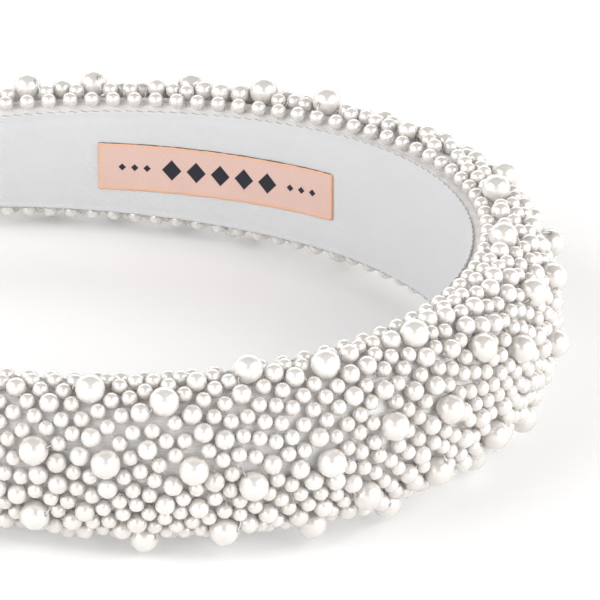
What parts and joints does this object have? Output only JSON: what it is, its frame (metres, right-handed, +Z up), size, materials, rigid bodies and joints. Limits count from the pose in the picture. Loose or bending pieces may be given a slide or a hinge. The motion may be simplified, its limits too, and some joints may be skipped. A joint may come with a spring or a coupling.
{
  "type": "headband",
  "caption": "Padded headband covered all over in faux pearls of three sizes, with a satin lining and a plain woven label; worn over the head as a hair accessory.",
  "frame": {"origin": "centre of the bounding box on the surface that the headband lies on, on its side", "axes": "+X from the open ends towards the crown, +Y towards the arm with the label, +Z up across the band's width; the band is tipped 3.1 degrees about Y so that crown and tips both rest on the table"},
  "size_m": [0.1655, 0.1683, 0.0432],
  "materials": {
    "pearl": "gloss",
    "cover": "matte",
    "lining": "satin",
    "tip_satin": "satin",
    "label": "satin",
    "foam": "matte",
    "core": "satin"
  },
  "bodies": {
    "root": {"core_band": "core", "foam_pad": "foam", "cover_fabric": "cover", "lining_strip": "lining", "woven_label": "label", "tip_wrap_left": "tip_satin", "tip_wrap_right": "tip_satin", "edge_pearls_upper": "pearl", "edge_pearls_lower": "pearl", "large_pearls_left_arm": "pearl", "large_pearls_crown": "pearl", "large_pearls_right_arm": "pearl", "medium_pearls_left_arm": "pearl", "medium_pearls_crown": "pearl", "medium_pearls_right_arm": "pearl", "small_pearls_left_arm_upper": "pearl", "small_pearls_left_arm_lower": "pearl", "small_pearls_crown_left_upper": "pearl", "small_pearls_crown_left_lower": "pearl", "small_pearls_crown_right_upper": "pearl", "small_pearls_crown_right_lower": "pearl", "small_pearls_right_arm_upper": "pearl", "small_pearls_right_arm_lower": "pearl", "resting_pearls": "pearl"}
  },
  "joints": []
}
